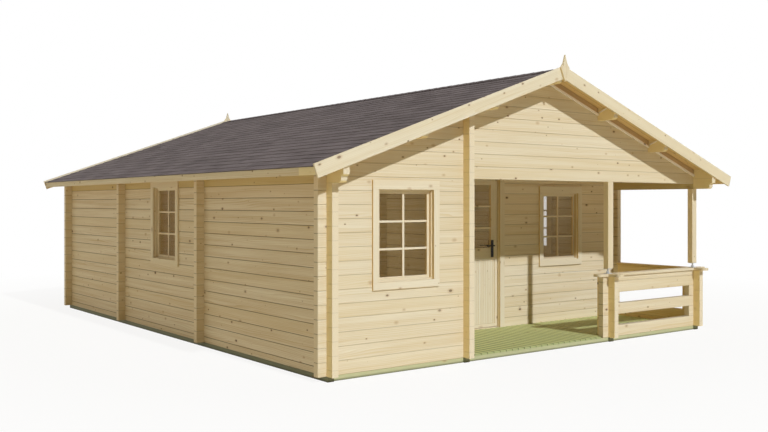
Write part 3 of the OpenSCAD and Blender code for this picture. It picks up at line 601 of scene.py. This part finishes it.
# %% Window joinery
WINDOW_W, WINDOW_H = 0.688, 0.901
TRIM_W, TRIM_TOP, TRIM_T = 0.075, 0.091, 0.020
SASH_W, SASH_T, SASH_IN = 0.043, 0.028, 0.042
BAR_W, BAR_H = 0.026, 0.022
BAR_BACK, BAR_EASE, GLASS_T = 0.002, 0.003, 0.004
BEAD_W, BEAD_IN, BEAD_CLEAR = 0.012, 0.016, 0.001
WINDOWS = [((-1.970, Y_FRONT, 0.892), 0), ((1.7437, Y_PORCH, 0.892), 0),
           ((X_LEFT, -0.005, 0.9585), -90), ((X_RIGHT + LOG_T, -0.805, 0.9585), 90)]


def add_ring(bm, inner, widths, y0, y1, place, through="rails"):
    """Four boards round a rectangle (half width, low, high); widths are those of sides, foot and head."""
    half, low, high = inner
    side, foot, head = widths
    end = half + side if through == "rails" else half
    z0, z1 = (low, high) if through == "rails" else (low - foot, high + head)
    add_board(bm, (-end, y0, low - foot), (end, y1, low), 0, place=place)
    add_board(bm, (-end, y0, high), (end, y1, high + head), 0, place=place)
    add_board(bm, (-half - side, y0, z0), (-half, y1, z1), 2, place=place)
    add_board(bm, (half, y0, z0), (half + side, y1, z1), 2, place=place)


trims, sashes, bars = new_mesh_layers(), new_mesh_layers(), new_mesh_layers()
for spot, turn in WINDOWS:
    place = Matrix.Translation(spot) @ Matrix.Rotation(math.radians(turn), 4, "Z")
    opening = (WINDOW_W / 2, 0.0, WINDOW_H)
    for y0, y1 in ((-TRIM_T, 0.0), (LOG_T, LOG_T + TRIM_T)):
        add_ring(trims, opening, (TRIM_W, TRIM_W, TRIM_TOP), y0, y1, place)
    # A thin bead inside the frame holds the sash
    bead = (WINDOW_W / 2 - BEAD_W, BEAD_W, WINDOW_H - BEAD_W)
    add_ring(sashes, bead, (BEAD_W,) * 3, BEAD_IN, SASH_IN - BEAD_CLEAR, place)
    half, low, high = WINDOW_W / 2 - SASH_W, SASH_W, WINDOW_H - SASH_W
    add_ring(sashes, (half, low, high), (SASH_W,) * 3, SASH_IN, SASH_IN + SASH_T, place, through="stiles")
    # Bars stand on both faces of the pane, so that it looks like six panes
    pane_y0, pane_y1 = SASH_IN + SASH_T / 2 - GLASS_T / 2, SASH_IN + SASH_T / 2 + GLASS_T / 2
    for y0, y1 in ((SASH_IN + BAR_BACK, pane_y0), (pane_y1, SASH_IN + SASH_T - BAR_BACK)):
        add_board(bars, (-BAR_W / 2, y0, low), (BAR_W / 2, y1, high), 2, BAR_EASE, place)
        for third in (1, 2):
            z = low + (high - low) * third / 3
            for x0, x1 in ((-half, -BAR_W / 2), (BAR_W / 2, half)):
                add_board(bars, (x0, y0, z - BAR_H / 2), (x1, y1, z + BAR_H / 2), 0, BAR_EASE, place)
finish_piece("window_wall_boards", trims, joinery, "house", "planed_pine", "window_trims")
finish_piece("window_sash_frames", sashes, joinery, "house", "planed_pine", "window_sashes")
finish_piece("window_bars", bars, joinery, "house", "planed_pine")

# %% [markdown]
# ## Door
#
# The leaf is framed like a real door: two stiles from top to bottom, three rails between them, thin upright
# boards in the lower part and a barred pane in the upper part. It rides on the door's own body, so it
# swings with the hinges.

# %% Door joinery
LEAF = ((-0.2625, -2.340, 0.084), (0.5975, -2.300, 2.009))
STILE_W, EDGE_W, BOARD_COUNT = 0.120, 0.050, 19
PANEL_Z, PANE_Z = (0.124, 0.937), (1.090, 1.889)
BOARD_BACK, BOARD_EASE = 0.003, 0.005
x0, x1 = LEAF[0][0], LEAF[1][0]
y0, y1 = LEAF[0][1], LEAF[1][1]
in0, in1 = x0 + STILE_W, x1 - STILE_W
leaf = new_mesh_layers()
low, lock, top = LEAF[0][2], PANEL_Z[1], LEAF[1][2]
for a, b, edge0, edge1 in ((x0, in0, x0, x0 + EDGE_W), (in1, x1, x1 - EDGE_W, x1)):
    add_board(leaf, (a, y0, lock), (b, y1, top), 2)
    add_board(leaf, (edge0, y0, low), (edge1, y1, lock), 2)
for a, b in ((lock, PANE_Z[0]), (PANE_Z[1], top)):
    add_board(leaf, (in0, y0, a), (in1, y1, b), 0)
add_board(leaf, (x0 + EDGE_W, y0, low), (x1 - EDGE_W, y1, PANEL_Z[0]), 0)
wide = (x1 - x0 - 2 * EDGE_W) / BOARD_COUNT
for i in range(BOARD_COUNT):
    a = x0 + EDGE_W + i * wide
    add_board(leaf, (a, y0 + BOARD_BACK, PANEL_Z[0]), (a + wide, y1 - BOARD_BACK, lock), 2, BOARD_EASE)
finish_piece("door_leaf_boards", leaf, joinery, "door", "planed_pine", "door_leaf")

DOOR_BAR_W, DOOR_BAR_H, DOOR_BAR_Z = 0.028, 0.024, (1.343, 1.618)
DOOR_BAR_BACK, DOOR_BAR_IN = 0.004, 0.018
glazing = new_mesh_layers()
middle = (in0 + in1) / 2
bar0, bar1 = middle - DOOR_BAR_W / 2, middle + DOOR_BAR_W / 2
for a, b in ((y0 + DOOR_BAR_BACK, y0 + DOOR_BAR_IN), (y1 - DOOR_BAR_IN, y1 - DOOR_BAR_BACK)):
    add_board(glazing, (bar0, a, PANE_Z[0]), (bar1, b, PANE_Z[1]), 2, BAR_EASE)
    for z in DOOR_BAR_Z:
        for c, d in ((in0, bar0), (bar1, in1)):
            add_board(glazing, (c, a, z - DOOR_BAR_H / 2), (d, b, z + DOOR_BAR_H / 2), 0, BAR_EASE)
finish_piece("door_glazing_bars", glazing, joinery, "door", "planed_pine")

SURROUND_W, LEAF_GAP = 0.078, 0.006
OUTER_REVEAL, INNER_REVEAL = -0.008, 0.020
surround = new_mesh_layers()
for a, b, reveal in ((Y_PORCH - TRIM_T, Y_PORCH, OUTER_REVEAL), (y1, y1 + TRIM_T, INNER_REVEAL)):
    left, right = x0 - LEAF_GAP - reveal, x1 + LEAF_GAP + reveal
    top = LEAF[1][2] + LEAF_GAP + reveal
    low = BASE_H + FLOOR_T
    add_board(surround, (left - SURROUND_W, a, low), (left, b, top), 2)
    add_board(surround, (right, a, low), (right + SURROUND_W, b, top), 2)
    add_board(surround, (left - SURROUND_W, a, top), (right + SURROUND_W, b, top + SURROUND_W), 0)
finish_piece("door_wall_boards", surround, joinery, "house", "planed_pine", "door_trims")

# %% [markdown]
# ## Cover strips on the gables
#
# Where a gable wall meets the roof boards, a thin board with a pale lip closes the joint between two purlins.
# The lips and the short strips are near white: painted light, for bright lines under the roof.
# On the ridge side of each purlin a short strip rises from the joint to the roof boards. Boards on a slope
# are built level and then turned by the pitch of the roof.

# %% Gable cover strips
PURLIN_X = (HALF_WIDTH - LOG_T / 2) / 3
COVER_D, LIP_D, LIP_W = 0.060, 0.086, 0.024
COVER_T, LIP_T, COVER_CLEAR = 0.010, 0.020, 0.001
RISE, REACH = 0.050, 0.135
STRIP_HALF_T, STRIP_LOW, STRIP_HIGH, STRIP_SHORT, STRIP_EASE = 0.004, -0.016, -0.002, 0.012, 0.001
covers, lips = new_mesh_layers(), new_mesh_layers()
bays = [(i * PURLIN_X + LOG_T / 2, (i + 1) * PURLIN_X - LOG_T / 2) for i in range(3)]
for slope in (-1, 1):
    place = Matrix.Translation((0, 0, RIDGE_UNDER)) @ Matrix.Rotation(slope * PITCH, 4, "Y")
    for face in (-1, 1):
        for bay in bays:
            for bm, d0, d1, thick in ((covers, COVER_CLEAR, COVER_D, COVER_T),
                                      (lips, LIP_D - LIP_W, LIP_D, LIP_T)):
                middle = (d0 + d1) / 2 * math.sin(PITCH)
                along = sorted(slope * (x + middle) / math.cos(PITCH) for x in bay)
                out = sorted((face * -Y_FRONT, face * (-Y_FRONT + thick)))
                add_board(bm, (along[0], out[0], -d1), (along[1], out[1], -d0), 0, place=place)
        for bay in bays[:2]:
            x, tilt = slope * (bay[1] - STRIP_HALF_T), math.atan2(RISE, REACH)
            z = RIDGE_UNDER - bay[1] * math.tan(PITCH) - RISE / 2
            strip = (Matrix.Translation((x, face * (-Y_FRONT + COVER_T + REACH / 2), z))
                     @ Matrix.Rotation(face * tilt, 4, "X"))
            half = math.hypot(RISE, REACH) / 2 - STRIP_SHORT
            add_board(lips, (-STRIP_HALF_T, -half, STRIP_LOW), (STRIP_HALF_T, half, STRIP_HIGH), 1,
                      STRIP_EASE, strip)
finish_piece("gable_cover_boards", covers, cover_pine, "house", "planed_pine")
finish_piece("gable_cover_lips", lips, light_lip_pine, "house", "planed_pine")

# %% [markdown]
# ## Porch deck
#
# The deck is laid with treated boards from front to back, about 93 mm from one to the next with an open
# joint for rain. Boards that meet the crossed log stack of the railing stop behind it. Each is held by
# screws over the beams and the joist.

# %% Deck boards and screws
BOARD_GAP, DECK_EASE, DECK_CLEAR = 0.007, 0.0015, 0.003
SCREW_ROWS, SCREW_FRONT, SCREW_BACK = (-3.300, -2.950, -2.600), 0.035, 0.045
SCREW_R, SCREW_TOP_R, SCREW_T = 0.0055, 0.0045, 0.0012
deck, screws = new_mesh_layers(), bmesh.new()
for i in range(DECK_COUNT):
    a = DECK_X0 + DECK_PITCH * i + BOARD_GAP / 2
    b = DECK_X0 + DECK_PITCH * (i + 1) - BOARD_GAP / 2
    front = Y_FRONT
    if b > X_STACK - ARM:
        front = Y_FRONT + LOG_T + DECK_CLEAR
    if b > X_STACK - DECK_CLEAR and a < X_STACK + LOG_T + DECK_CLEAR:
        front = Y_FRONT + LOG_T + ARM + DECK_CLEAR
    add_board(deck, (a, front, BASE_H), (b, Y_PORCH, BASE_H + FLOOR_T), 1, DECK_EASE)
    for y in (front + SCREW_FRONT, *SCREW_ROWS, Y_PORCH - SCREW_BACK):
        head = Matrix.Translation(((a + b) / 2, y, BASE_H + FLOOR_T))
        bmesh.ops.create_cone(screws, cap_ends=True, segments=8, radius1=SCREW_R,
                              radius2=SCREW_TOP_R, depth=SCREW_T, matrix=head)
finish_piece("deck_boards", deck, deck_pine, "house", "treated_pine", "porch_deck")
finish_piece("deck_screws", screws, zinc_steel, "house", "zinc_steel")

# %% [markdown]
# ## Shingles
#
# The roof is covered with strips of bitumen shingle. Each course overlaps the one below and is cut into
# tabs a third of a metre wide, and the tabs of neighbouring courses are half a tab apart. A slope is built
# flat, with its own axes down the slope, along the house and out of the roof, then one matrix lays it on
# the roof boards. Under the tabs lies a thin felt, which shows in the slots.

# %% Shingle courses
COURSES, TAB_T, TAB_GAP = 24, 0.0034, 0.006
TABS, TAB_LIFT, TAB_WANDER, HEAD_LAP = 24, TAB_T * 1.15, 0.004, 0.022
FELT_T, FELT_BACK, SHINGLE_BACK = 0.0004, 0.006, 0.003
SLOPE_LENGTH = (SHINGLE_EDGE_X - SHINGLE_BACK) / math.cos(PITCH)
EXPOSED = SLOPE_LENGTH / COURSES
TAB_W = 2 * ROOF_HALF_LENGTH / TABS


def add_tab(bm, s0, s1, a, b, lift, tone):
    """One tab between s0 and s1 down the slope and a and b along the house, with its lower edge lifted."""
    verts = bmesh.ops.create_cube(bm, size=1.0)["verts"]
    bmesh.ops.scale(bm, vec=(s1 - s0, b - a, TAB_T), verts=verts)
    bmesh.ops.rotate(bm, cent=(0, 0, 0), matrix=Matrix.Rotation(-lift / (s1 - s0), 3, "Y"), verts=verts)
    bmesh.ops.translate(bm, vec=((s0 + s1) / 2, (a + b) / 2, TAB_T / 2 + lift / 2 + FELT_T), verts=verts)
    number = bm.faces.layers.float["board"]
    for face in {f for v in verts for f in v.link_faces}:
        face[number] = tone


def slope_of_shingles(name, side, node):
    """Felt and tabs of one slope: side is -1 for the left and 1 for the right."""
    bm = new_mesh_layers()
    felt = bmesh.ops.create_cube(bm, size=1.0)["verts"]
    bmesh.ops.scale(bm, vec=(SLOPE_LENGTH - FELT_BACK, 2 * ROOF_HALF_LENGTH, FELT_T), verts=felt)
    bmesh.ops.translate(bm, vec=((SLOPE_LENGTH - FELT_BACK) / 2, 0, FELT_T / 2), verts=felt)
    for row in range(COURSES):
        butt = SLOPE_LENGTH - row * EXPOSED
        top = max(0.0, butt - EXPOSED - HEAD_LAP)
        start = -ROOF_HALF_LENGTH - (TAB_W / 2 if row % 2 else 0)
        for i in range(TABS + row % 2):
            a = max(-ROOF_HALF_LENGTH, start + i * TAB_W + TAB_GAP / 2)
            b = min(ROOF_HALF_LENGTH, start + (i + 1) * TAB_W - TAB_GAP / 2)
            add_tab(bm, top, butt - rng.uniform(0, TAB_WANDER), a, b, TAB_LIFT, rng.random())
    down = Vector((side * math.cos(PITCH), 0, -math.sin(PITCH)))
    out = Vector((side * math.sin(PITCH), 0, math.cos(PITCH)))
    lay = Matrix.Identity(4)
    for row in range(3):
        lay[row][0], lay[row][1], lay[row][2] = down[row], (0, 1, 0)[row], out[row]
    lay.translation = (0, 0, RIDGE_TOP)
    bmesh.ops.transform(bm, matrix=lay, verts=bm.verts)
    bmesh.ops.recalc_face_normals(bm, faces=bm.faces)
    return finish_piece(name, bm, shingle, "house", "bitumen_shingle", node)


slope_of_shingles("shingle_courses_left", -1, "shingles_left")
slope_of_shingles("shingle_courses_right", 1, "shingles_right")

# %% [markdown]
# ## Ridge caps
#
# Single tabs are folded over the ridge and overlap towards the front, so that no joint is left open at the
# top. A cap is a bent strip of six vertices that is given its thickness with solidify.

# %% Ridge caps
CAP_HALF, CAP_COUNT, CAP_LAP = 0.118, 56, 0.02
APEX_CLEAR, FLAP_CLEAR = 0.0047, 0.0076
caps = new_mesh_layers()
number = caps.faces.layers.float["board"]
apex = RIDGE_TOP + (APEX_CLEAR + TAB_T) / math.cos(PITCH)
flap = RIDGE_TOP - CAP_HALF * math.tan(PITCH) + (FLAP_CLEAR + TAB_T) / math.cos(PITCH)
cap_length = 2 * ROOF_HALF_LENGTH / CAP_COUNT
for i in range(CAP_COUNT):
    front = -ROOF_HALF_LENGTH + i * cap_length
    back = min(ROOF_HALF_LENGTH, front + cap_length + CAP_LAP)
    rows = []
    for y, lift in ((front, TAB_T), (back, 0.0)):
        rows.append([caps.verts.new((x, y, z + lift)) for x, z in
                     ((-CAP_HALF, flap), (0, apex), (CAP_HALF, flap))])
    folds = [caps.faces.new((rows[0][k], rows[0][k + 1], rows[1][k + 1], rows[1][k])) for k in (0, 1)]
    tone = rng.random()
    for face in folds:
        face.normal_update()
    made = bmesh.ops.solidify(caps, geom=folds, thickness=TAB_T)
    for face in folds + [f for f in made["geom"] if isinstance(f, bmesh.types.BMFace)]:
        face[number] = tone
bmesh.ops.recalc_face_normals(caps, faces=caps.faces)
finish_piece("ridge_caps", caps, shingle, "house", "bitumen_shingle")

# %% [markdown]
# ## Floor, light and camera
#
# The house stands on a plain pale floor. Camera, mirror and glass rays see the floor fade to white, while
# it still takes a soft shadow. One low sun from the front draws the shadows of the roof on the gable, and
# a warm sky fills the shade. A weak lamp in each of two rooms lets the logs inside show through the
# panes. All are set so that a colour renders about as it is written.

# %% Floor and world
FLOOR_R, FLOOR_DROP, FADE_FROM, FADE_TO = 80.0, 0.001, 5.0, 11.0
SKY_TILT, SKY_LEVEL = 0.30, 0.325


def seen_directly(tree):
    """One where a camera, mirror or glass ray arrives, and zero for the light on the house."""
    seen = put(tree, "LightPath").node.outputs
    through = put(tree, "Math", {0: seen["Is Glossy Ray"], 1: seen["Is Transmission Ray"]}, operation="ADD")
    return put(tree, "Math", {0: seen["Is Camera Ray"], 1: through}, operation="ADD", use_clamp=True)


floor_bm = bmesh.new()
bmesh.ops.create_circle(floor_bm, cap_ends=True, segments=96, radius=FLOOR_R)
bmesh.ops.translate(floor_bm, vec=(0, 0, -FLOOR_DROP), verts=floor_bm.verts)
floor_mesh = bpy.data.meshes.new("studio_floor")
floor_bm.to_mesh(floor_mesh)
floor_bm.free()
studio_floor = bpy.data.objects.new("studio_floor", floor_mesh)
bpy.context.scene.collection.objects.link(studio_floor)

floor_material, tree = new_material("Pale_studio_floor")
reach = put(tree, "VectorMath", {0: put(tree, "TexCoord", out="Object")}, "Value", operation="LENGTH")
white = put(tree, "Math", {0: seen_directly(tree), 1: put(tree, "MapRange", {
    0: reach, 1: FADE_FROM, 2: FADE_TO, 3: 0.88, 4: 1.0})}, operation="MULTIPLY")
shader = put(tree, "MixShader", {
    0: white, 1: put(tree, "BsdfDiffuse", {"Color": linear("#F2E8CE")}),
    2: put(tree, "Emission", {"Color": (1, 1, 1, 1), "Strength": 1.0})})
put(tree, "OutputMaterial", {"Surface": shader})
floor_mesh.materials.append(floor_material)

world = bpy.data.worlds.new("Studio_sky")
bpy.context.scene.world = world
world.use_nodes = True
tree = world.node_tree
tree.nodes.clear()
# The sky is bright behind the house and dim in front of it, where the sun does the work
strength = put(tree, "Math", {0: put(tree, "SeparateXYZ", {0: put(tree, "TexCoord", out="Generated")}, 1),
                              1: SKY_TILT, 2: SKY_LEVEL}, operation="MULTIPLY_ADD")
shader = put(tree, "MixShader", {
    0: seen_directly(tree), 1: put(tree, "Background", {"Color": (1.0, 0.93, 0.80, 1), "Strength": strength}),
    2: put(tree, "Background", {"Color": (1, 1, 1, 1), "Strength": 1.0})})
put(tree, "OutputWorld", {"Surface": shader})

for name, spot, power in (("Front_room_lamp", (-2.07, -2.37, 1.3), 4.2),
                          ("Main_room_lamp", (-0.5, -0.2, 1.3), 20.0)):
    lamp_data = bpy.data.lights.new(name, "POINT")
    lamp_data.energy = power
    lamp_data.color = (1.0, 0.96, 0.82)
    lamp_data.shadow_soft_size = 0.4
    lamp = bpy.data.objects.new(name, lamp_data)
    lamp.location = spot
    lamp.visible_camera = False
    lamp.visible_glossy = False
    bpy.context.scene.collection.objects.link(lamp)

sun_data = bpy.data.lights.new("Low_sun", "SUN")
sun_data.energy = 3.4
sun_data.angle = math.radians(1.6)
sun_data.color = (0.70, 0.79, 1.0)
sun = bpy.data.objects.new("Low_sun", sun_data)
bpy.context.scene.collection.objects.link(sun)
sun.rotation_euler = Vector((0.0, 1.0, -0.726)).to_track_quat("-Z", "Y").to_euler()

camera_data = bpy.data.cameras.new("Front_left_view")
camera_data.sensor_width = 36.0
camera_data.lens = 41.95
camera_data.shift_x = -0.0054
camera_data.shift_y = -0.0171
camera_data.clip_end = 300.0
camera = bpy.data.objects.new("Front_left_view", camera_data)
bpy.context.scene.collection.objects.link(camera)
camera.location = (-7.463, -10.648, 1.662)
camera.rotation_euler = (math.radians(90), 0.0, math.radians(-37.16))
bpy.context.scene.camera = camera
bpy.context.scene.view_settings.view_transform = "Standard"
print("camera:", camera.name, "sun:", sun.name)
